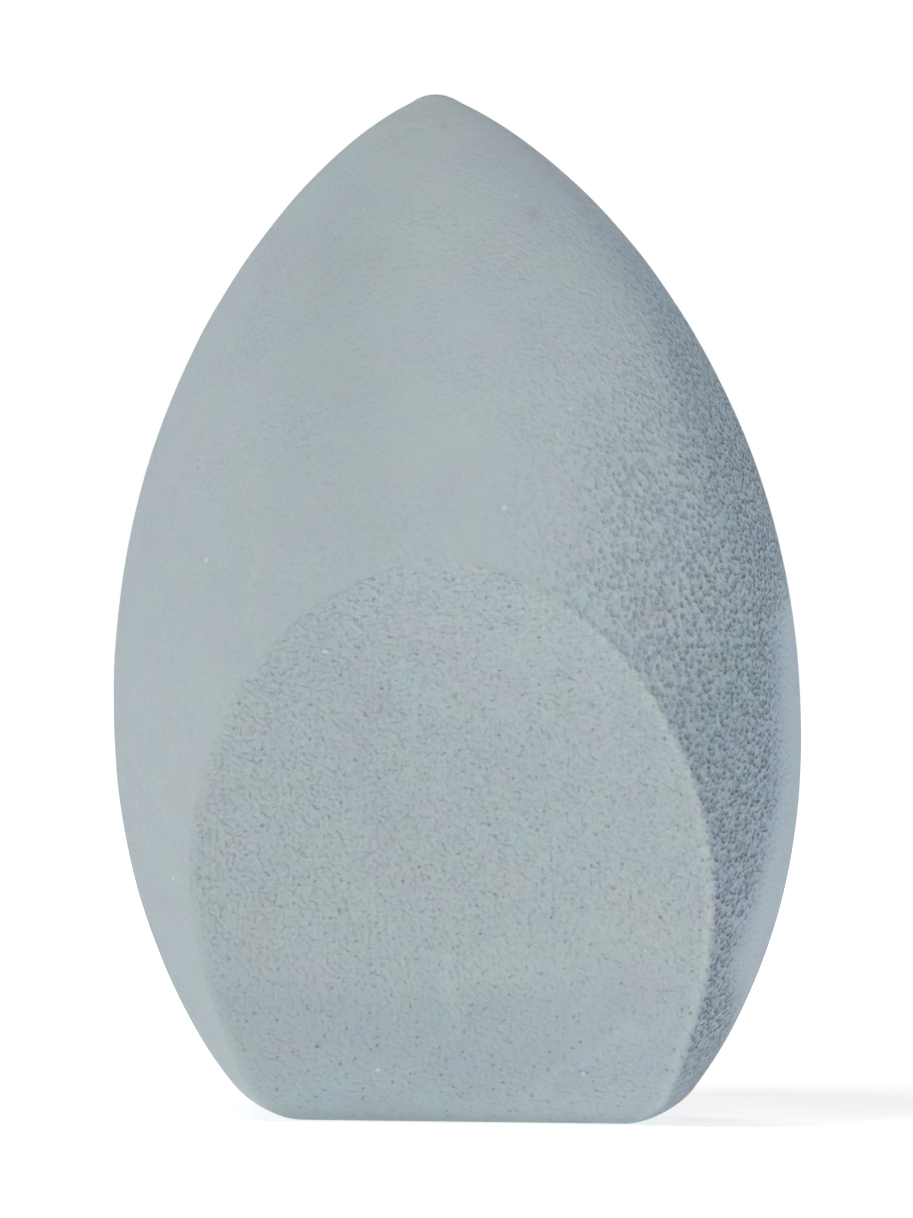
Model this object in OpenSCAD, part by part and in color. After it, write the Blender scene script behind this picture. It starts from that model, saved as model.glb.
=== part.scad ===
// Makeup sponge: one moulded piece of soft foam. An egg drawn up to a blunt
// tip stands on a flat base, and one slanting face is cut across its front.
// The base lies on z = 0 about the Z axis, and the face looks towards -Y.

/* [Egg] */
// Height from the base to the tip
body_h = 60; // [45:0.5:90]
// Diameter at the widest girth
body_d = 40.2; // [30:0.2:56]
// Height of the widest girth
girth_h = 23.2; // [14:0.2:32]
// How far the wall has drawn in, halfway up from the girth to the tip
shoulder_inset = 3.55; // [2:0.05:5]
// Radius of the blunt end of the tip
tip_r = 2.4; // [1:0.1:5]

/* [Base] */
// Diameter of the base, if its edge were sharp
base_d = 23.4; // [16:0.2:29]
// Rounding of the edge round the base
base_edge_r = 2; // [0.6:0.1:3]

/* [Slanting face] */
// Distance from the axis to the face at the base, if its foot were sharp
face_gap = 5.9; // [5.4:0.1:8]
// Tilt of the face from upright
face_tilt_angle = 22.5; // [16:0.1:32]
// Turn of the face about the axis, towards -X
face_turn_angle = 2.2; // [-20:0.1:20]
// Height of the foot, over which the face turns under to the base
face_foot_h = 7; // [2:0.5:12]
// How far the foot has drawn in at the base
face_foot_inset = 4; // [1:0.1:5]
// Radius of the soft edge down each side of the face
face_edge_r = 0.6; // [0.3:0.1:2]
// Depth over which the top of the face runs out into the egg
face_run_out = 0.5; // [0.1:0.1:1]
// Depth of the shallow dish in the face
face_dish = 1.2; // [0:0.1:2]

/* [Lean] */
// Sideways lean of the whole egg, measured at the tip
body_lean = 1.6; // [0:0.1:5]
// Further bend of the last stretch below the tip
tip_bend = 0.7; // [0:0.1:2]

/* [Smoothness] */
// Columns of facets across the flat of the face
flat_columns = 12; // [6:2:20]
// Columns across each side edge of the face
rim_columns = 5; // [3:1:8]
// Columns round the rest of the egg
back_columns = 44; // [24:2:60]
// Rings up the edge of the base
edge_rings = 6; // [3:1:8]
// Rings from there to the crown of the face
face_rings = 17; // [12:1:30]
// Rings over the crown, where the face runs out
crown_rings = 12; // [4:1:20]
// Rings from there to the tip
tip_rings = 19; // [12:1:30]

/* [Hidden] */

foam_color = [0.66, 0.71, 0.73];

// Powers of the height: how late the shoulders draw in, how late the tip
// bends, and how closely the rings crowd towards the tip
bulge_power = 2.1;
bend_power = 8;
crowd_power = 2;
// The crown starts at this share of the face's height
crown_share = 0.84;
// The columns beside the face close in to this angle above it, and no further
least_rim_angle = 20;
// Half of the narrowest band that the side edge's columns fill
least_band_angle = 2;
// The top of the face is found to within this share of the height
closeness_share = 1e-9;

body_r = body_d / 2;
base_r = base_d / 2;
tip_h = body_h - girth_h;
// Below the girth the wall is an ellipse, and this is its half height
belly_h = girth_h / sqrt(1 - pow(base_r / body_r, 2));
// Above it the wall draws in by this power, which meets shoulder_inset halfway
taper_power = ln(1 - shoulder_inset / body_r) / ln(1 - pow(0.5, bulge_power));

// A rounding at the base is a quarter of an ellipse, of height h, that draws
// the surface in by this much at height z and by the whole inset at z = 0
function rounded_in(z, h, inset) =
    z >= h ? 0 : inset * (1 - sqrt(1 - pow(1 - z / h, 2)));

function belly_r(z) = body_r * sqrt(1 - pow((girth_h - z) / belly_h, 2));

function shoulder_r(z) =
    body_r * pow(1 - pow((z - girth_h) / tip_h, bulge_power), taper_power);

// Radius of the ball that blunts the tip
function ball_r(z) = sqrt(max(0, pow(tip_r, 2) - pow(z - body_h + tip_r, 2)));

// Radius of the egg at height z
function wall_r(z) =
    z < girth_h
        ? belly_r(z) - rounded_in(z, base_edge_r, base_edge_r)
        : max(shoulder_r(z), ball_r(z));

// Distance from the axis to the face at height z
function face_x(z) =
    face_gap + z * tan(face_tilt_angle) - rounded_in(z, face_foot_h, face_foot_inset);

// The face ends where it comes out through the wall
function find_top(low, high) =
    let (middle = (low + high) / 2)
    high - low < body_h * closeness_share
        ? middle
        : wall_r(middle) > face_x(middle)
            ? find_top(middle, high)
            : find_top(low, middle);

face_top = find_top(base_edge_r, body_h);

// Depth of the cut, which fades to nothing above the top of the face
function faded(depth) =
    depth >= face_run_out
        ? depth
        : depth <= -face_run_out ? 0 : pow(depth + face_run_out, 2) / (4 * face_run_out);

function cut_x(z) = wall_r(z) - faded(wall_r(z) - face_x(z));

// Each side edge is an arc that touches both the flat and the round wall.
// These give the arc's radius, the half width of the flat, and the angles
// where the arc meets the flat and the wall, seen from the axis.
function edge_r(z) = min(face_edge_r, wall_r(z) / 3);

function flat_half(z) =
    sqrt(max(0, pow(wall_r(z) - edge_r(z), 2) - pow(cut_x(z) - edge_r(z), 2)));

function flat_angle(z) = atan2(flat_half(z), cut_x(z));

function wall_angle(z) = atan2(flat_half(z), cut_x(z) - edge_r(z));

// The dish is deepest in the middle and runs out at the edges of the face
function dish(z, across) =
    z >= face_top
        ? 0
        : face_dish * (1 - pow(abs(2 * z / face_top - 1), 3)) * (1 - pow(across, 2));

// Far side of a circle of radius r, whose middle lies at distance d and at an
// angle of a from the line of sight
function far_side(d, r, a) = d * cos(a) + sqrt(pow(r, 2) - pow(d * sin(a), 2));

// Distance from the axis to the surface at height z, at an angle of a from
// the middle of the face
function section_r(z, a) =
    a >= wall_angle(z)
        ? wall_r(z)
        : a > flat_angle(z)
            ? far_side(wall_r(z) - edge_r(z), edge_r(z), a - wall_angle(z))
            : (cut_x(z) - dish(z, cut_x(z) * tan(a) / flat_half(z))) / cos(a);

// The columns follow the side edges of the face and are closer together there.
// They close in over its crown, and then spread out evenly up to the tip.
function rim_angle(z) =
    pow(pow((flat_angle(z) + wall_angle(z)) / 2, 4) + pow(least_rim_angle, 4), 1 / 4);

function band_angle(z) = max(least_band_angle, (wall_angle(z) - flat_angle(z)) / 2);

function close_angles(rim, band) = [
    for (i = [0:flat_columns - 1])
        atan(tan(rim - band) * (2 * i / flat_columns - 1)),
    for (i = [0:rim_columns - 1])
        rim - band + 2 * band * i / rim_columns,
    for (i = [0:back_columns - 1])
        rim + band + 2 * (180 - rim - band) * i / back_columns,
    for (i = [0:rim_columns - 1])
        360 - rim - band + 2 * band * i / rim_columns
];

columns = flat_columns + 2 * rim_columns + back_columns;
even_angles = [for (i = [0:columns - 1]) 360 * (i - flat_columns / 2) / columns];

function eased(share) = pow(share, 2) * (3 - 2 * share);

function column_angles(z) =
    let (spread = eased(max(0, (z - face_top) / (body_h - face_top))))
    close_angles(rim_angle(z), band_angle(z)) * (1 - spread) + even_angles * spread;

// Heights of the rings, with the crown of the face from crown_low to crown_high
crown_low = face_top * crown_share;
crown_high = face_top + 3 * face_run_out;
ring_heights = [
    for (i = [0:edge_rings - 1])
        base_edge_r * (1 - cos(90 * i / edge_rings)),
    for (i = [0:face_rings - 1])
        base_edge_r + (crown_low - base_edge_r) * i / face_rings,
    for (i = [0:crown_rings - 1])
        crown_low + (crown_high - crown_low) * i / crown_rings,
    for (i = [0:tip_rings - 1])
        body_h - (body_h - crown_high) * pow(1 - i / tip_rings, crowd_power)
];

// Sideways place of the egg's axis at height z
function axis_x(z) =
    -body_lean * z / body_h - tip_bend * pow(z / body_h, bend_power);

function ring(z) = [
    for (a = column_angles(z))
        let (
            r = section_r(z, abs(a > 180 ? a - 360 : a)),
            heading = a - 90 - face_turn_angle
        )
        [axis_x(z) + r * cos(heading), r * sin(heading), z]
];

// Two triangles fill the cell between a point, the next one round the ring and
// the two above them. They meet along the cell's shorter diagonal, which leans
// the other way on each side of the face.
function cell(here, next, leans_on) =
    leans_on
        ? [[here, here + columns, next + columns], [here, next + columns, next]]
        : [[here, here + columns, next], [next, here + columns, next + columns]];

module sponge_body() {
    rings = len(ring_heights);
    tip = rings * columns;
    face_middle = flat_columns / 2;
    skin = [
        for (i = [0:rings - 2], k = [0:columns - 1])
            each cell(
                i * columns + k,
                i * columns + (k + 1) % columns,
                k >= face_middle && k < face_middle + columns / 2
            )
    ];
    cap = [
        for (k = [0:columns - 1])
            [tip - columns + k, tip, tip - columns + (k + 1) % columns]
    ];
    base = [for (k = [0:columns - 1]) k];
    color(foam_color)
        polyhedron(
            points = [
                for (z = ring_heights) each ring(z),
                [axis_x(body_h), 0, body_h]
            ],
            faces = concat([base], skin, cap),
            convexity = 4
        );
}

sponge_body();
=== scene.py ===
"""A makeup sponge of soft foam, standing on a pale floor in soft studio light.

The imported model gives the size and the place. One foam piece replaces its solid
with the same form on a finer mesh, and adds the low waves, the creases and the
dimples of the real foam. Its material adds the cells of the foam: a skin that is
smooth on the left and open on the right, and a cut face with scattered pits.
"""
import math
from collections import namedtuple

import bpy
import numpy as np
from mathutils import Matrix, Vector, noise


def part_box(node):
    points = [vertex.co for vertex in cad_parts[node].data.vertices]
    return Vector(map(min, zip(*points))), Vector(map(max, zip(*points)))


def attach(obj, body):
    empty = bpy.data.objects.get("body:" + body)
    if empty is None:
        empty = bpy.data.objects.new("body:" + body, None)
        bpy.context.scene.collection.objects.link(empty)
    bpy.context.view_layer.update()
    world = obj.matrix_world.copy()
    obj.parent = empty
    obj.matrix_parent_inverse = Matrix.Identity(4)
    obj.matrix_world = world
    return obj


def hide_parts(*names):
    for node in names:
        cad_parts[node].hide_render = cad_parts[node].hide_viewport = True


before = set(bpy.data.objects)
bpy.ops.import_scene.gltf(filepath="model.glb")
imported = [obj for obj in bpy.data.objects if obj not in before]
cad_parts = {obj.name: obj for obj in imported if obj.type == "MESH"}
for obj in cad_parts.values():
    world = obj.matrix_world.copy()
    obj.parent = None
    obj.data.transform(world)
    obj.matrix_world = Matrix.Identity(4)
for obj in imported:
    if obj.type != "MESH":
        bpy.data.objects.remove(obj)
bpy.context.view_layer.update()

NODE = "sponge_body"
cad_low, cad_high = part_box(NODE)

# The sponge is 60 mm high, and every size below is in its millimetres. Angles on
# it run round its axis from the middle of the face, in radians, and are positive
# towards the right. "Across" is sideways from the middle, towards the right.
BODY_H = 60.0
MM = (cad_high.z - cad_low.z) / BODY_H

# The egg: its widest radius and the height of that, how far the wall has come in
# half way from there to the tip, the radius of the blunt tip, the power that
# makes the shoulder full, and how far the axis leans and then bends to the left
BODY_R = 20.1
GIRTH_H = 23.2
SHOULDER_INSET = 3.55
TIP_R = 2.4
BULGE_POWER = 2.1
BODY_LEAN = 1.6
TIP_BEND = 0.7
BEND_POWER = 8

# The base: the egg's radius there, before its edge is rounded
BASE_R = 11.7
BASE_EDGE_R = 2.0

# The slanting face: its distance from the axis at the base, its lean out from
# upright, its turn to the left, and how high and how far in its foot turns under.
# Its right edge is crisp and its left edge is soft. It runs out into the wall
# above, over a depth on either side of it, and it is dished.
FACE_GAP = 5.9
FACE_TILT = math.radians(22.5)
FACE_TURN = math.radians(2.2)
FACE_FOOT_H = 7.0
FACE_FOOT_INSET = 4.0
FACE_EDGE_R_RIGHT = 0.3
FACE_EDGE_R_LEFT = 0.8
FACE_RUN_OUT = 0.5
FACE_DISH = 1.2
FACE_DISH_POWER = 3
FACE_TOP_CLOSENESS = 1e-6

# The flat of the face is worked out up to the first angle. The face's colour
# changes to the skin's over at least the second.
WIDEST_FLAT_ANGLE = 1.5
LEAST_EDGE_ANGLE = 0.02

# The mesh: columns across the face, over each of its side edges and round the
# back, and rings up the wall
FACE_COLUMNS = 120
RIM_COLUMNS = 14
BACK_COLUMNS = 232
RINGS = 258
WALL_SAMPLES = 6001
LEAST_RIM_ANGLE = math.radians(20)
LEAST_BAND_ANGLE = math.radians(2)

# The waves in the surface and in its colour. For each use: the wavelength, how
# far the waves go to either side, and a seed.
WAVES = {
    "swell": (9.0, 0.05, 1),
    "ripple": (3.2, 0.02, 2),
    "face_ripple": (1.3, 0.012, 3),
    "openness": (4.0, 0.1, 5),
    "face_openness": (5.0, 0.4, 6),
    "foot_edge": (6.0, 1.5, 7),
    "broad_tone": (12.0, 0.08, 8),
    "corner_edge": (5.0, 1.0, 9),
    "crease_across": (2.5, 0.5, 10),
    "crease_height": (2.5, 0.5, 11),
    "strip_edge": (5.0, 0.05, 12),
}
SEED_STEPS = (17.3, 5.1, 11.7)

# Everything that stands out of the plain form fades in over this height
LIFT_FADE_H = 2.0

# The cut leaves a low lip along the right edge of the face, and a paler line on
# it, a painted highlight where the edge catches the light. Each inset is how far
# in from the edge the lip or the line runs.
LIP_H = 0.14
LIP_WIDTH = 0.28
LIP_INSET = 0.05
LIP_HIGHLIGHT_TONE = 0.30
LIP_HIGHLIGHT_INSET = 0.15

# A shallow hollow at the foot of the face: across, height, depth and reach
HOLLOW = (3.5, 5.2, 0.45, (4.8, 2.8))

# Soft creases round it: two ends of each (across, height), and how high it
# stands. A painted highlight runs along each, and the tone is its change of tone
# for each millimetre of height.
CREASES = [
    ((-1.0, 10.0), (-0.55, 5.3), 0.09),
    ((-0.55, 5.3), (-4.1, 2.6), 0.05),
    ((3.3, 1.5), (10.0, 5.9), 0.08),
]
CREASE_WIDTH = 0.4
CREASE_HIGHLIGHT_TONE = 2.2

# Small dimples near the tip: across, height, depth and width. Painted shade
# darkens each, and the tone is its change of tone for each millimetre of depth.
DIMPLES = [
    (3.55, 52.9, 0.12, 0.35),
    (-1.7, 58.0, 0.06, 0.3),
]
DIMPLE_SHADE_TONE = -4.0

# Broad soft marks, lighter and darker, on the front: two ends of each, width and change of
# tone. The light one by the tip is a painted highlight.
MARKS = [
    ((-1.5, 62.0), (-1.8, 56.0), 4.5, 0.16),
    ((-8.5, 50.0), (-6.5, 35.0), 3.5, -0.14),
    ((-9.5, 28.0), (-5.0, 21.0), 4.0, -0.12),
]

# How open the cells are, from 0 to 1: at the least anywhere, and at the least on
# the skin, on the back and on the face. A pair named _ANGLES or _H gives where a
# change starts and where it ends. The skin opens towards the right and closes
# again behind. The top of the open part rises towards the right, and the cells
# are fully open this far below it.
LEAST_OPENNESS = 0.1
SKIN_OPENNESS = 0.12
BACK_OPENNESS = 0.4
FACE_OPENNESS = 0.55
OPEN_START_ANGLES = (0.1, 0.85)
OPEN_END_ANGLES = (1.45, 1.95)
OPEN_FOOT_H = (-1.0, 6.0)
OPEN_TOP_H = 52.0
OPEN_TOP_RISE = 10.0
OPEN_TOP_RISE_ANGLES = (0.7, 1.2)
OPEN_TOP_FADE = 26.0
BACK_ANGLES = (1.5, 2.2)
FACE_OPEN_H = (6.0, 14.0)

# The strip on the far right, where the skin is closed again and painted lighter,
# a painted highlight for the light bounced onto that side: the angle where it
# starts, how soft its start is, and how both change with height, each change as
# the height where it starts, the height where it ends, and the amount. Its cells
# close by this share, a little before its tone changes.
STRIP_ANGLE = 1.19
STRIP_ANGLE_CHANGES = [(29, 35, 0.3), (20, 10, -0.1), (10, 2, 0.35)]
STRIP_SOFTNESS = 0.16
STRIP_SOFTNESS_CHANGES = [(27, 36, 0.7), (12, 2, 0.3)]
STRIP_END_ANGLES = (1.6, 2.2)
STRIP_CLOSED = 0.95
STRIP_CLOSED_LEAD = 0.07
# How much lighter the strip is: painted bounce light
STRIP_LIGHT_TONE = 0.1

# Painted shade: the darker band between the face and that strip, where the right side of the
# foam turns away from the light
BAND_ANGLE = 0.5
BAND_ANGLE_CHANGES = [(22, 32, 0.3)]
BAND_SOFTNESS = 0.3
BAND_END_ANGLES = (1.4, 1.9)
BAND_TOP_H = (46, 60)
# How much darker the band is: painted shade
BAND_SHADE_TONE = -0.4

# Painted shade makes the foot of the face darker, where it turns under, and its
# right corner less so. The corner starts at a line through a point (across,
# height), which runs this far across for each millimetre up.
FOOT_SHADE_TONE = -0.24
FOOT_SHADE_H = (9.5, 6.5)
CORNER_POINT = (3.3, 1.5)
CORNER_SLOPE = 1.1
CORNER_SOFTNESS = 3.0
CORNER_LOSS = 0.3

# The foam's colour, and what multiplies it at the darkest tone, which is 0, and
# at the lightest, which is 1. The tones carry the foam's own random changes of
# colour, and also painted shade and painted highlights.
PLAIN_TONE = 0.5
FOAM_COLOUR = (0.467, 0.530, 0.545)
DARK_TONE = (0.84, 0.88, 0.93)
LIGHT_TONE = (1.14, 1.12, 1.08)

# The pits: their spacing, their radius as a share of the spacing, the depth of
# the deepest and how much of the pit colour it shows. The pit colour is painted
# shade, for the shadow down in the foam's open cells. Each pit has a random
# number from 0 to 1, and its depth eases from none at none_at to full at 1. So
# the lower none_at is, the more alike the pits are.
Pits = namedtuple("Pits", "spacing radius none_at depth dark")
SKIN_PITS = Pits(spacing=0.33, radius=0.7, none_at=-1.2, depth=0.27, dark=0.36)
LARGE_PITS = Pits(spacing=0.45, radius=0.3, none_at=0.0, depth=0.08, dark=0.55)
SMALL_PITS = Pits(spacing=0.34, radius=0.5, none_at=0.0, depth=0.05, dark=0.2)
# The pit colour is painted shade, for the shadow inside the open cells
PIT_SHADE_COLOUR = (0.16, 0.24, 0.32)

# All noise lies about this value. The cells are pushed about by noise of the
# next size, and this far, so that they lose their regular shape.
NOISE_MIDDLE = 0.5
PUSH_SIZE = 0.5
PUSH_REACH = 0.10

# The grain of the skin and of the face. Between two values of the face's grain,
# the foam's roughness goes over its range.
SKIN_GRAIN_SPACING = 0.30
SKIN_GRAIN_DEPTH = 0.27
FACE_GRAIN_SPACING = 0.28
FACE_GRAIN_DEPTH = 0.25
ROUGHNESS_GRAIN = (0.3, 0.7)
ROUGHNESS_RANGE = (0.88, 1.0)
FOAM_SHINE = {"Specular IOR Level": 0.15, "Sheen Weight": 0.08, "Sheen Roughness": 0.5}

# Faint mottles, and sparse pale specks
MOTTLE_SIZE = 3.0
MOTTLE_DETAIL = 3.0
MOTTLE_ROUGHNESS = 0.6
MOTTLE_SHARE = 0.08
SPECK_SPACING = 3.6
SPECK_RADII = (0.055, 0.03)
SPECK_TONE = (1.22, 1.22, 1.22)

# The camera, level with the middle of the sponge, and how far it sees. The
# picture is 1218 pixels high and shows 17.09 pixels to the millimetre at the
# sponge's axis.
PICTURE_H = 1218 / 17.09
SENSOR_WIDTH = 36.0
CAMERA_DISTANCE = 600.0
CAMERA_X = -0.75
CAMERA_Z = 29.9
CAMERA_ROLL = math.radians(0.6)
CAMERA_REACH = 100000.0

# Soft lights: name, bearing from the camera's side towards the right,
# elevation, width, power and colour
LIGHT_DISTANCE = 800.0
LIGHTS = [
    ("key", -35, 50, 300, 2.54, (0.86, 0.85, 1.00)),
    ("left_front", -30, 12, 260, 1.19, (0.95, 1.00, 0.68)),
    ("left_back", -120, 5, 200, 1.28, (0.84, 0.84, 1.00)),
    ("high_front", 30, 65, 300, 0.65, (1.00, 1.00, 0.72)),
    ("right", 90, 45, 300, 0.85, (1.00, 0.87, 0.95)),
    ("back", -160, 45, 300, 1.00, (0.94, 0.97, 1.00)),
]

# The floor glows like a lit white table, and is brighter and cooler towards the
# right, where each pair says how far across a change starts and ends. The camera
# sees it nearly white, and fully white at its far end, so that it has no horizon.
FLOOR_REACH = 3000.0
FLOOR_COLOUR = (0.85, 0.85, 0.85)
FLOOR_SHINE = {"Roughness": 0.9, "Specular IOR Level": 0.2}
FLOOR_GLOW_LEFT = (0.46, 0.45, 0.465)
FLOOR_GLOW_RIGHT = (0.69, 0.765, 0.92)
FLOOR_GLOW_FAR_RIGHT = (1.46, 1.75, 1.98)
FLOOR_RIGHT = (0.0, 60.0)
FLOOR_FAR_RIGHT = (90.0, 130.0)
FLOOR_SEEN_GLOW = (0.6, 1.1)
FLOOR_SEEN_DISTANCE = (60.0, 300.0)


def eased(share):
    """Runs smoothly from 0 to 1 as the share does."""
    share = np.clip(share, 0, 1)
    return share**2 * (3 - 2 * share)


def ramp(value, start, end):
    """Runs smoothly from 0 to 1 as the value goes from start to end."""
    return eased((value - start) / (end - start))


def hill(distance, width):
    """A soft rise of height 1 at distance 0, which is about twice the width across."""
    return np.exp(-((distance / width) ** 2))


def changed(plain, height, changes):
    """The plain value with its changes over the height, each as start, end and amount."""
    return plain + sum(amount * ramp(height, start, end) for start, end, amount in changes)


def waves(points, use):
    """Smooth noise at each point, for one of the uses in WAVES."""
    wavelength, reach, seed = WAVES[use]
    shift = Vector([seed * step for step in SEED_STEPS])
    places = points.reshape(-1, 3) / wavelength
    values = [noise.noise(Vector(place) + shift) for place in places]
    return reach * np.array(values).reshape(points.shape[:-1])


def rounded_in(z, h, inset):
    """How far a quarter ellipse at the base, of height h, draws the surface in."""
    rise = np.clip(z / h, 0, 1)
    return inset * (1 - np.sqrt(1 - (1 - rise) ** 2))


def wall_r(z):
    """Radius of the egg at height z."""
    belly_h = GIRTH_H / math.sqrt(1 - (BASE_R / BODY_R) ** 2)
    belly = BODY_R * np.sqrt(np.maximum(0, 1 - ((GIRTH_H - z) / belly_h) ** 2))
    taper = math.log(1 - SHOULDER_INSET / BODY_R) / math.log(1 - 0.5**BULGE_POWER)
    rise = np.clip((z - GIRTH_H) / (BODY_H - GIRTH_H), 0, 1)
    shoulder = BODY_R * np.maximum(0, 1 - rise**BULGE_POWER) ** taper
    ball = np.sqrt(np.maximum(0, TIP_R**2 - (z - BODY_H + TIP_R) ** 2))
    belly = belly - rounded_in(z, BASE_EDGE_R, BASE_EDGE_R)
    return np.where(z < GIRTH_H, belly, np.maximum(shoulder, ball))


def face_x(z):
    """Distance from the axis to the face at height z."""
    return FACE_GAP + z * math.tan(FACE_TILT) - rounded_in(z, FACE_FOOT_H, FACE_FOOT_INSET)


def find_face_top():
    """Height at which the face comes out through the wall."""
    low, high = BASE_EDGE_R, BODY_H
    while high - low > FACE_TOP_CLOSENESS:
        middle = (low + high) / 2
        if wall_r(np.array(middle)) > face_x(np.array(middle)):
            low = middle
        else:
            high = middle
    return low


FACE_TOP = find_face_top()


def cut_x(z):
    """Distance from the axis to the flat, which fades out above the face."""
    wall = wall_r(z)
    depth = wall - face_x(z)
    fading = (depth + FACE_RUN_OUT) ** 2 / (4 * FACE_RUN_OUT)
    faded = np.where(depth >= FACE_RUN_OUT, depth, np.where(depth <= -FACE_RUN_OUT, 0, fading))
    return wall - faded


def fitted_edge(wall, edge_r):
    """Radius of the face's side edge, which is at most a third of the egg's."""
    return np.minimum(edge_r, wall / 3)


def edge_angles(z, edge_r):
    """Half width of the flat, and the angles where its side edge starts and ends."""
    wall, cut = wall_r(z), cut_x(z)
    edge = fitted_edge(wall, edge_r)
    half = np.sqrt(np.maximum(0, (wall - edge) ** 2 - (cut - edge) ** 2))
    return half, np.arctan2(half, cut), np.arctan2(half, cut - edge)


def section_r(z, angle, edge_r):
    """Distance from the axis to the surface at each height and angle."""
    wall, cut = wall_r(z), cut_x(z)
    edge = fitted_edge(wall, edge_r)
    half, flat_angle, wall_angle = edge_angles(z, edge_r)
    off = np.minimum(np.abs(angle), WIDEST_FLAT_ANGLE)
    across = np.clip(cut * np.tan(off) / np.maximum(half, 1e-9), 0, 1)
    rise = np.clip(z / FACE_TOP, 0, 1)
    dish = FACE_DISH * (1 - np.abs(2 * rise - 1) ** FACE_DISH_POWER) * (1 - across**2)
    flat = (cut - dish) / np.cos(off)
    past = np.abs(angle) - wall_angle
    bend = np.maximum(0, edge**2 - ((wall - edge) * np.sin(past)) ** 2)
    arc = (wall - edge) * np.cos(past) + np.sqrt(bend)
    within = np.where(np.abs(angle) > flat_angle, arc, flat)
    return np.where(np.abs(angle) >= wall_angle, wall, within)


def cut_share(z, angle, edge_r):
    """1 on the cut face and 0 on the skin, with a change over the face's edges."""
    _, flat_angle, wall_angle = edge_angles(z, edge_r)
    middle = (flat_angle + wall_angle) / 2
    width = np.maximum(wall_angle - flat_angle, LEAST_EDGE_ANGLE)
    across = np.clip(0.5 + (middle - np.abs(angle)) / width, 0, 1)
    return across * np.clip((FACE_TOP + FACE_RUN_OUT - z) / (2 * FACE_RUN_OUT), 0, 1)


def column_angles(z):
    """Angles of the columns at height z: close together at the face's edges, and
    evenly spread at the tip."""
    _, flat_angle, wall_angle = edge_angles(z, (FACE_EDGE_R_LEFT + FACE_EDGE_R_RIGHT) / 2)
    # The rim's angle follows the edge of the face, and levels off at its least
    rim = (((flat_angle + wall_angle) / 2) ** 4 + LEAST_RIM_ANGLE**4) ** 0.25
    band = np.maximum(LEAST_BAND_ANGLE, (wall_angle - flat_angle) / 2)
    rim, band = rim[:, None], band[:, None]
    face = np.arange(FACE_COLUMNS)[None] / FACE_COLUMNS
    side = np.arange(RIM_COLUMNS)[None] / RIM_COLUMNS
    back = np.arange(BACK_COLUMNS)[None] / BACK_COLUMNS
    close = np.hstack(
        [
            np.arctan(np.tan(rim - band) * (2 * face - 1)),
            rim - band + 2 * band * side,
            rim + band + 2 * (math.pi - rim - band) * back,
            2 * math.pi - rim - band + 2 * band * side,
        ]
    )
    columns = close.shape[1]
    even = 2 * math.pi * (np.arange(columns) - FACE_COLUMNS / 2) / columns
    spread = ramp(z, FACE_TOP, BODY_H)[:, None]
    angles = close * (1 - spread) + even[None] * spread
    return np.where(angles > math.pi, angles - 2 * math.pi, angles)


def ring_heights():
    """Heights of the rings, evenly spaced along the wall from the base to the tip."""
    z = np.linspace(0, BODY_H, WALL_SAMPLES)
    r = wall_r(z)
    along = np.concatenate([[0], np.cumsum(np.hypot(np.diff(z), np.diff(r)))])
    return np.interp(np.linspace(0, along[-1], RINGS + 1), along, z)[:-1]


def axis_x(z):
    """Sideways place of the egg's axis at height z."""
    return -BODY_LEAN * z / BODY_H - TIP_BEND * (z / BODY_H) ** BEND_POWER


def on_front(points, values):
    """The values on the front half of the sponge, and 0 on its back half."""
    return np.where(points[..., 1] < 0, values, 0)


def rim_hill(points, angles, radius, inset):
    """A rise along the right edge of the face, this far in from it."""
    half, _, _ = edge_angles(points[..., 2], FACE_EDGE_R_RIGHT)
    on_rim = (angles > 0) & (angles < math.pi / 2) & (points[..., 2] < FACE_TOP)
    return np.where(on_rim, hill(half - radius * np.sin(angles) - inset, LIP_WIDTH), 0)


def line_hill(points, start, end, width):
    """A rise along the line between two places, which wanders a little off it.
    Each place is how far across it is, and its height."""
    across = points[..., 0] + waves(points, "crease_across") - start[0]
    height = points[..., 2] + waves(points, "crease_height") - start[1]
    along = np.array(end) - np.array(start)
    share = np.clip((across * along[0] + height * along[1]) / (along @ along), 0, 1)
    distance = np.hypot(across - share * along[0], height - share * along[1])
    return hill(distance, width)


def spot_hill(points, x, z, width):
    """A rise round one place on the front."""
    return on_front(points, hill(np.hypot(points[..., 0] - x, points[..., 2] - z), width))


def strip_share(points, angles, lead=0.0):
    """The strip on the far right. The lead makes it start that much sooner."""
    height = points[..., 2]
    start = changed(STRIP_ANGLE, height, STRIP_ANGLE_CHANGES) + waves(points, "strip_edge")
    softness = changed(STRIP_SOFTNESS, height, STRIP_SOFTNESS_CHANGES)
    return ramp(angles + lead, start, start + softness)


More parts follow.
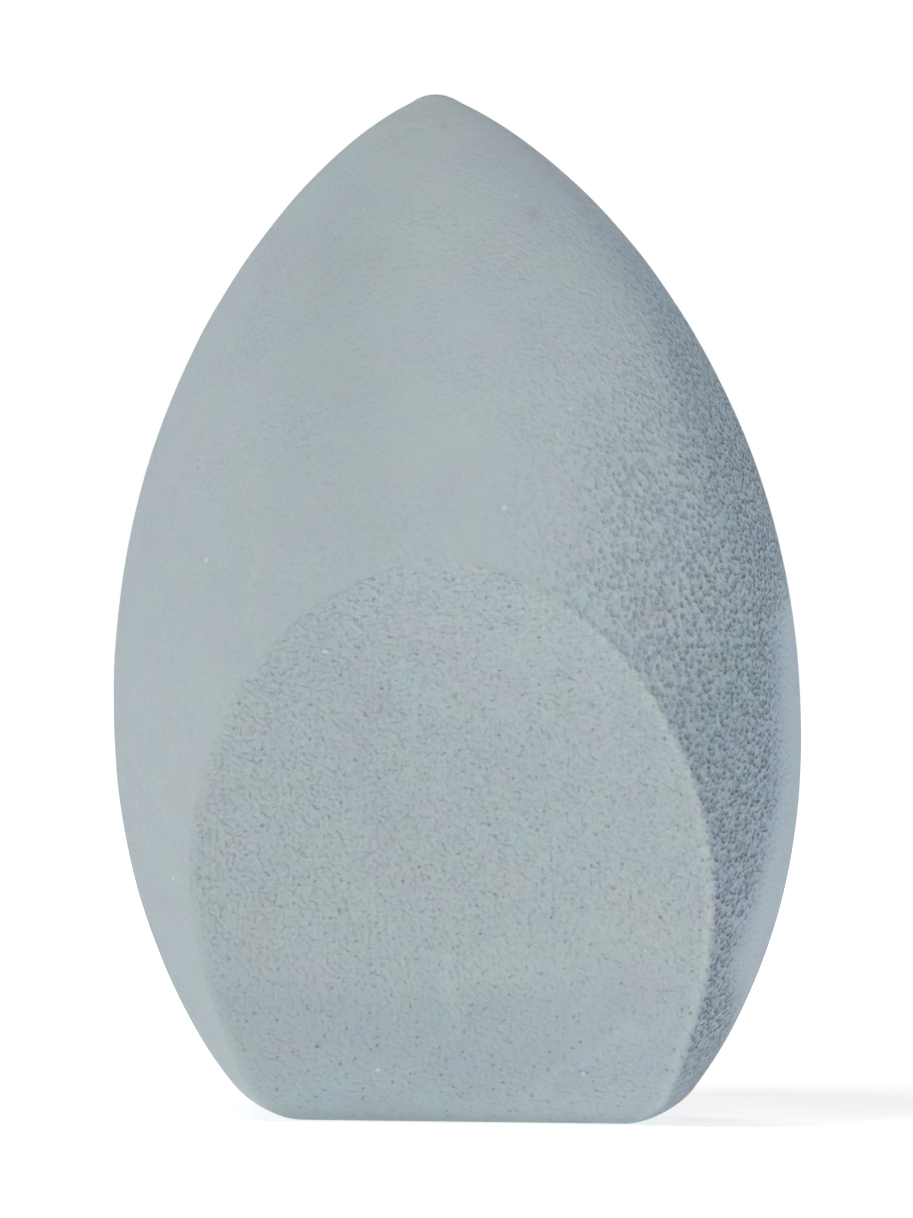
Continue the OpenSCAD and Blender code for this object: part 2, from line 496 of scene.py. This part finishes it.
def open_share(points, angles, face_share):
    """How open the foam's cells are. The skin is smooth on the left of the face
    and open on its right, and the face itself is smoother at its foot."""
    height = points[..., 2]
    top = OPEN_TOP_H + OPEN_TOP_RISE * ramp(angles, *OPEN_TOP_RISE_ANGLES)
    opening = ramp(angles, *OPEN_START_ANGLES) * (1 - ramp(angles, *OPEN_END_ANGLES))
    opening = opening * ramp(height, top, top - OPEN_TOP_FADE) * ramp(height, *OPEN_FOOT_H)
    closed = STRIP_CLOSED * strip_share(points, angles, STRIP_CLOSED_LEAD)
    back = BACK_OPENNESS * ramp(np.abs(angles), *BACK_ANGLES)
    skin = SKIN_OPENNESS + (1 - SKIN_OPENNESS) * np.maximum(opening * (1 - closed), back)
    foot, full = FACE_OPEN_H
    face_rise = (height - foot) / (full - foot) + waves(points, "face_openness")
    face = FACE_OPENNESS + (1 - FACE_OPENNESS) * np.clip(face_rise, 0, 1)
    share = skin + (face - skin) * face_share + waves(points, "openness")
    return np.clip(share, LEAST_OPENNESS, 1)


def foot_shade(points, face_share):
    """Painted shade at the foot of the face, less at its right corner."""
    across, height = points[..., 0], points[..., 2]
    corner_x, corner_z = CORNER_POINT
    foot = ramp(height - waves(points, "foot_edge"), *FOOT_SHADE_H)
    past_line = across - corner_x - CORNER_SLOPE * (height - corner_z)
    corner = eased((past_line + waves(points, "corner_edge")) / CORNER_SOFTNESS)
    return FOOT_SHADE_TONE * foot * (1 - CORNER_LOSS * corner) * face_share


def flank_shade_and_highlight(points, angles, face_share):
    """Painted light on the right: painted shade in a darker band, and painted bounce light in
    a lighter strip beyond it.
    """
    height = points[..., 2]
    strip = strip_share(points, angles)
    start = changed(BAND_ANGLE, height, BAND_ANGLE_CHANGES)
    band = ramp(angles, start, start + BAND_SOFTNESS) * (1 - ramp(angles, *BAND_END_ANGLES))
    band = band * (1 - ramp(height, *BAND_TOP_H)) * (1 - face_share) * (1 - strip)
    lighter = strip * (1 - ramp(angles, *STRIP_END_ANGLES))
    return STRIP_LIGHT_TONE * lighter + BAND_SHADE_TONE * band


def tone_and_painted_light_share(points, angles, radius, face_share):
    """Lighter and darker areas of the foam, as a share of which 0.5 is plain: random changes
    of its colour, with painted shade and painted light added.
    """
    # Random broad changes of tone, and painted shade at the foot of the face
    tone = PLAIN_TONE + waves(points, "broad_tone") + foot_shade(points, face_share)
    # Painted shade in the band on the right, and painted bounce light on the strip beyond it
    tone += flank_shade_and_highlight(points, angles, face_share)
    # A painted highlight along the lip on the face's right edge
    tone += LIP_HIGHLIGHT_TONE * rim_hill(points, angles, radius, LIP_HIGHLIGHT_INSET)
    # Lighter and darker marks on the front; the one by the tip is a painted highlight
    for start, end, width, change in MARKS:
        tone += on_front(points, change * line_hill(points, start, end, width))
    # Painted highlights along the raised creases on the face
    for start, end, rise in CREASES:
        tone += CREASE_HIGHLIGHT_TONE * rise * line_hill(points, start, end, CREASE_WIDTH) * face_share
    # Painted shade in the dimples
    for x, z, depth, width in DIMPLES:
        tone += DIMPLE_SHADE_TONE * depth * spot_hill(points, x, z, width)
    return np.clip(tone, 0, 1)


def surface_lift(points, angles, radius, face_share):
    """How far the surface stands out from the plain form."""
    across, height = points[..., 0], points[..., 2]
    lift = waves(points, "swell") + waves(points, "ripple")
    lift += waves(points, "face_ripple") * face_share
    lift += LIP_H * rim_hill(points, angles, radius, LIP_INSET)
    x, z, depth, (reach_x, reach_z) = HOLLOW
    hollow = hill(np.hypot((across - x) / reach_x, (height - z) / reach_z), 1)
    lift -= on_front(points, depth * hollow * face_share)
    for start, end, rise in CREASES:
        lift += on_front(points, rise * line_hill(points, start, end, CREASE_WIDTH))
    for x, z, depth, width in DIMPLES:
        lift -= depth * spot_hill(points, x, z, width)
    return lift * np.clip(height / LIFT_FADE_H, 0, 1)


def plain_points(heights, angles, radius):
    """Points of the plain form, from their heights, angles and distances from the axis."""
    heading = angles - math.pi / 2 - FACE_TURN
    across = axis_x(heights) + radius * np.cos(heading)
    return np.stack([across, radius * np.sin(heading), heights], axis=-1)


def outward(points):
    """Directions out of the surface at each point of the rings, of length 1."""
    round_way = np.roll(points, -1, axis=1) - np.roll(points, 1, axis=1)
    up_way = np.gradient(points, axis=0)
    normals = np.cross(round_way, up_way)
    return normals / np.maximum(np.linalg.norm(normals, axis=-1, keepdims=True), 1e-12)


def closed_mesh(name, points):
    """A mesh over the rings of points, closed by the base and by a fan at the tip."""
    rings, columns = points.shape[:2]
    tip = rings * columns
    verts = np.vstack([points.reshape(-1, 3), [[float(axis_x(BODY_H)), 0, BODY_H]]]) * MM
    index = np.arange(rings * columns).reshape(rings, columns)
    beside = np.roll(index, -1, axis=1)
    quads = np.stack([index[:-1], beside[:-1], beside[1:], index[1:]], axis=-1)
    faces = quads.reshape(-1, 4).tolist()
    faces += [(a, b, tip) for a, b in zip(index[-1].tolist(), beside[-1].tolist())]
    faces.append(index[0][::-1].tolist())
    mesh = bpy.data.meshes.new(name)
    mesh.from_pydata(verts.tolist(), [], faces)
    mesh.update()
    mesh.shade_smooth()
    return mesh


def store_share(mesh, name, share):
    """Stores a share at the mesh's points, and 0 at its tip."""
    layer = mesh.attributes.new(name, "FLOAT", "POINT")
    layer.data.foreach_set("value", np.append(share.ravel(), 0).astype(np.float32))


def make_sponge():
    """The foam as one closed mesh, with three shares stored for its material."""
    z = ring_heights()
    angles = column_angles(z)
    heights = np.repeat(z[:, None], angles.shape[1], axis=1)
    edge_r = np.where(angles > 0, FACE_EDGE_R_RIGHT, FACE_EDGE_R_LEFT)
    radius = section_r(heights, angles, edge_r)
    face_share = cut_share(heights, angles, edge_r)
    plain = plain_points(heights, angles, radius)
    lift = surface_lift(plain, angles, radius, face_share)
    points = plain + outward(plain) * lift[..., None]
    mesh = closed_mesh("sponge_foam", points)
    store_share(mesh, "face_share", face_share)
    store_share(mesh, "open_share", open_share(points, angles, face_share))
    store_share(mesh, "tone_and_painted_light_share", tone_and_painted_light_share(points, angles, radius, face_share))
    piece = bpy.data.objects.new("sponge_foam", mesh)
    bpy.context.scene.collection.objects.link(piece)
    return piece


def opaque(colour):
    """The colour with a full alpha."""
    return (*colour, 1)


def tinted(colour, tint, gain=1.0):
    """The colour times the tint, and times the gain."""
    return tuple(gain * a * b for a, b in zip(colour, tint))


class Nodes:
    """Short calls that add shader nodes to one material and join them up."""

    def __init__(self, material):
        material.use_nodes = True
        self.tree = material.node_tree
        self.shader = self.tree.nodes["Principled BSDF"]

    def join(self, value, socket):
        """Joins an output to the socket, or sets the socket to a plain value."""
        if isinstance(value, bpy.types.NodeSocket):
            self.tree.links.new(value, socket)
        else:
            socket.default_value = value

    def set_shader(self, values):
        """Joins or sets the shader's inputs, given as names and values."""
        for name, value in values.items():
            self.join(value, self.shader.inputs[name])

    def math(self, operation, a, b):
        node = self.tree.nodes.new("ShaderNodeMath")
        node.operation = operation
        self.join(a, node.inputs[0])
        self.join(b, node.inputs[1])
        return node.outputs[0]

    def product(self, first, *others):
        """All the values multiplied together."""
        for other in others:
            first = self.math("MULTIPLY", first, other)
        return first

    def vector(self, operation, a, b):
        node = self.tree.nodes.new("ShaderNodeVectorMath")
        node.operation = operation
        self.join(a, node.inputs[0])
        self.join(b, node.inputs[1])
        return node.outputs[0]

    def place(self):
        """Place on the piece, in millimetres."""
        node = self.tree.nodes.new("ShaderNodeTexCoord")
        return self.vector("MULTIPLY", node.outputs["Object"], (1 / MM,) * 3)

    def share(self, name):
        """One of the shares that the mesh stores at its points."""
        node = self.tree.nodes.new("ShaderNodeAttribute")
        node.attribute_name = name
        return node.outputs["Fac"]

    def noise(self, place, size, detail=2.0, roughness=0.5):
        node = self.tree.nodes.new("ShaderNodeTexNoise")
        node.inputs["Scale"].default_value = 1 / size
        node.inputs["Detail"].default_value = detail
        node.inputs["Roughness"].default_value = roughness
        self.join(place, node.inputs["Vector"])
        return node.outputs

    def cells(self, place, size):
        node = self.tree.nodes.new("ShaderNodeTexVoronoi")
        node.inputs["Scale"].default_value = 1 / size
        self.join(place, node.inputs["Vector"])
        return node.outputs

    def step(self, value, start, end, low=0.0, high=1.0):
        """Runs smoothly from low to high as the value goes from start to end."""
        node = self.tree.nodes.new("ShaderNodeMapRange")
        node.interpolation_type = "SMOOTHSTEP"
        self.join(value, node.inputs["Value"])
        node.inputs["From Min"].default_value = start
        node.inputs["From Max"].default_value = end
        node.inputs["To Min"].default_value = low
        node.inputs["To Max"].default_value = high
        return node.outputs["Result"]

    def blend(self, share, a, b):
        """Runs from a to b as the share goes from 0 to 1."""
        node = self.tree.nodes.new("ShaderNodeMix")
        self.join(share, node.inputs["Factor"])
        self.join(a, node.inputs["A"])
        self.join(b, node.inputs["B"])
        return node.outputs["Result"]

    def blend_colour(self, share, a, b, way="MIX"):
        """Runs from colour a to colour b, or to what the blend way makes of both."""
        node = self.tree.nodes.new("ShaderNodeMix")
        node.data_type = "RGBA"
        node.blend_type = way
        self.join(share, node.inputs[0])
        self.join(a, node.inputs[6])
        self.join(b, node.inputs[7])
        return node.outputs[2]


def pushed(nodes, place):
    """The place, pushed about a little."""
    noise_colour = nodes.noise(place, PUSH_SIZE)["Color"]
    push = nodes.vector("SUBTRACT", noise_colour, (NOISE_MIDDLE,) * 3)
    return nodes.vector("ADD", place, nodes.vector("MULTIPLY", push, (2 * PUSH_REACH,) * 3))


def pit_share(nodes, place, pits):
    """How deep the place is in a pit, from 0 to 1."""
    cells = nodes.cells(place, pits.spacing)
    hole = nodes.step(cells["Distance"], pits.radius, 0.0)
    split = nodes.tree.nodes.new("ShaderNodeSeparateColor")
    nodes.join(cells["Color"], split.inputs[0])
    return nodes.product(hole, nodes.step(split.outputs[0], pits.none_at, 1.0))


def foam_bump(nodes, height):
    """Direction of the surface once the height, in millimetres, stands on it."""
    bump = nodes.tree.nodes.new("ShaderNodeBump")
    bump.inputs["Distance"].default_value = MM
    bump.inputs["Strength"].default_value = 1.0
    nodes.join(height, bump.inputs["Height"])
    return bump.outputs["Normal"]


def foam_colour(nodes, place, dark):
    """The foam's colour: its tones, with their painted shade and light, its mottles, painted
    shade in the pits, and pale specks.
    """
    # The mottles multiply the colour by about the noise's middle value, which the
    # gain here makes up for
    darkest = tinted(FOAM_COLOUR, DARK_TONE, 1 / NOISE_MIDDLE)
    lightest = tinted(FOAM_COLOUR, LIGHT_TONE, 1 / NOISE_MIDDLE)
    # The tones hold random changes of colour, and painted shade and painted light
    toned = nodes.blend_colour(nodes.share("tone_and_painted_light_share"), opaque(darkest), opaque(lightest))
    mottle = nodes.noise(place, MOTTLE_SIZE, MOTTLE_DETAIL, MOTTLE_ROUGHNESS)["Color"]
    soft_mottle = nodes.blend_colour(MOTTLE_SHARE, opaque((NOISE_MIDDLE,) * 3), mottle)
    mottled = nodes.blend_colour(1.0, toned, soft_mottle, "MULTIPLY")
    # Painted shade in the pits
    pit_shaded = nodes.blend_colour(dark, mottled, opaque(PIT_SHADE_COLOUR))
    speck = nodes.step(nodes.cells(place, SPECK_SPACING)["Distance"], *SPECK_RADII)
    return nodes.blend_colour(speck, pit_shaded, opaque(tinted(FOAM_COLOUR, SPECK_TONE)))


def foam_material():
    """Fine open-cell foam: a pebbled skin, a cut face with sparse pits, faint mottles."""
    material = bpy.data.materials.new("foam")
    nodes = Nodes(material)
    place = nodes.place()
    loose = pushed(nodes, place)
    face = nodes.share("face_share")
    openness = nodes.share("open_share")

    skin_pits = nodes.product(pit_share(nodes, loose, SKIN_PITS), openness)
    large_pits = pit_share(nodes, loose, LARGE_PITS)
    small_pits = nodes.product(pit_share(nodes, loose, SMALL_PITS), openness)
    skin_grain = nodes.noise(loose, SKIN_GRAIN_SPACING, 0.0)["Fac"]
    face_grain = nodes.noise(loose, FACE_GRAIN_SPACING, 0.0)["Fac"]

    skin_rise = nodes.product(skin_grain, openness, SKIN_GRAIN_DEPTH)
    skin_fall = nodes.product(skin_pits, SKIN_PITS.depth)
    skin_height = nodes.math("SUBTRACT", skin_rise, skin_fall)

    face_rise = nodes.product(face_grain, openness, FACE_GRAIN_DEPTH)
    large_fall = nodes.product(large_pits, LARGE_PITS.depth)
    small_fall = nodes.product(small_pits, SMALL_PITS.depth)
    face_fall = nodes.math("ADD", large_fall, small_fall)
    face_height = nodes.math("SUBTRACT", face_rise, face_fall)

    # How much painted shade each pit shows, for the shadow inside the cells
    skin_pit_shade = nodes.product(skin_pits, SKIN_PITS.dark)
    large_pit_shade = nodes.product(large_pits, LARGE_PITS.dark)
    small_pit_shade = nodes.product(small_pits, SMALL_PITS.dark)
    face_pit_shade = nodes.math("ADD", large_pit_shade, small_pit_shade)

    nodes.set_shader(FOAM_SHINE)
    nodes.set_shader(
        {
            "Base Color": foam_colour(nodes, place, nodes.blend(face, skin_pit_shade, face_pit_shade)),
            "Roughness": nodes.step(face_grain, *ROUGHNESS_GRAIN, *ROUGHNESS_RANGE),
            "Normal": foam_bump(nodes, nodes.blend(face, skin_height, face_height)),
        }
    )
    return material


def floor_material():
    """A pale matt surface. It lights the sponge with a coloured glow, and the
    camera sees a white one instead."""
    material = bpy.data.materials.new("pale_floor")
    nodes = Nodes(material)
    place = nodes.place()
    length = nodes.tree.nodes.new("ShaderNodeVectorMath")
    length.operation = "LENGTH"
    nodes.join(place, length.inputs[0])
    split = nodes.tree.nodes.new("ShaderNodeSeparateXYZ")
    nodes.join(place, split.inputs[0])
    right = nodes.step(split.outputs["X"], *FLOOR_RIGHT)
    far_right = nodes.step(split.outputs["X"], *FLOOR_FAR_RIGHT)
    glow = nodes.blend_colour(right, opaque(FLOOR_GLOW_LEFT), opaque(FLOOR_GLOW_RIGHT))
    glow = nodes.blend_colour(far_right, glow, opaque(FLOOR_GLOW_FAR_RIGHT))
    seen = nodes.step(length.outputs["Value"], *FLOOR_SEEN_DISTANCE, *FLOOR_SEEN_GLOW)
    rays = nodes.tree.nodes.new("ShaderNodeLightPath")
    nodes.set_shader(FLOOR_SHINE)
    nodes.set_shader(
        {
            "Base Color": opaque(FLOOR_COLOUR),
            "Emission Color": nodes.blend_colour(rays.outputs["Is Camera Ray"], glow, seen),
            "Emission Strength": 1.0,
        }
    )
    return material


def make_floor():
    """A wide pale floor that glows, as a lit white table does."""
    mesh = bpy.data.meshes.new("floor")
    size = FLOOR_REACH * MM
    corners = [(-size, -size, 0), (size, -size, 0), (size, size, 0), (-size, size, 0)]
    mesh.from_pydata(corners, [], [(0, 1, 2, 3)])
    mesh.materials.append(floor_material())
    floor = bpy.data.objects.new("floor", mesh)
    bpy.context.scene.collection.objects.link(floor)


def make_light(name, bearing, elevation, width, power, colour):
    """A round soft light that faces the middle of the sponge."""
    data = bpy.data.lights.new(name, "AREA")
    data.shape = "DISK"
    data.size = width * MM
    data.energy = power
    data.color = colour
    lamp = bpy.data.objects.new(name, data)
    turn, rise = math.radians(bearing), math.radians(elevation)
    side, ahead = math.sin(turn) * math.cos(rise), -math.cos(turn) * math.cos(rise)
    away = Vector((side, ahead, math.sin(rise)))
    middle = Vector((0, 0, BODY_H / 2))
    lamp.location = (middle + away * LIGHT_DISTANCE) * MM
    lamp.rotation_euler = away.to_track_quat("Z", "Y").to_euler()
    lamp.visible_camera = False
    bpy.context.scene.collection.objects.link(lamp)


def make_world():
    """White behind the sponge for the camera, and no light of its own."""
    world = bpy.data.worlds.new("studio")
    world.use_nodes = True
    nodes, links = world.node_tree.nodes, world.node_tree.links
    nodes.clear()
    rays = nodes.new("ShaderNodeLightPath")
    seen = nodes.new("ShaderNodeBackground")
    seen.inputs["Color"].default_value = (1, 1, 1, 1)
    out = nodes.new("ShaderNodeOutputWorld")
    links.new(rays.outputs["Is Camera Ray"], seen.inputs["Strength"])
    links.new(seen.outputs[0], out.inputs["Surface"])
    bpy.context.scene.world = world


def make_camera():
    """The camera, in front of the sponge and level, but for a small roll."""
    data = bpy.data.cameras.new("camera")
    data.sensor_width = SENSOR_WIDTH
    data.lens = SENSOR_WIDTH * CAMERA_DISTANCE / PICTURE_H
    data.clip_end = CAMERA_REACH * MM
    camera = bpy.data.objects.new("camera", data)
    place = Matrix.Translation(Vector((CAMERA_X, -CAMERA_DISTANCE, CAMERA_Z)) * MM)
    level = Matrix.Rotation(math.pi / 2, 4, "X")
    camera.matrix_world = place @ level @ Matrix.Rotation(CAMERA_ROLL, 4, "Z")
    bpy.context.scene.collection.objects.link(camera)
    bpy.context.scene.camera = camera


make_camera()
sponge = make_sponge()
sponge.data.materials.append(foam_material())
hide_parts(NODE)
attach(sponge, "root")
make_floor()
make_world()
for light in LIGHTS:
    make_light(*light)
bpy.context.scene.view_settings.view_transform = "Standard"
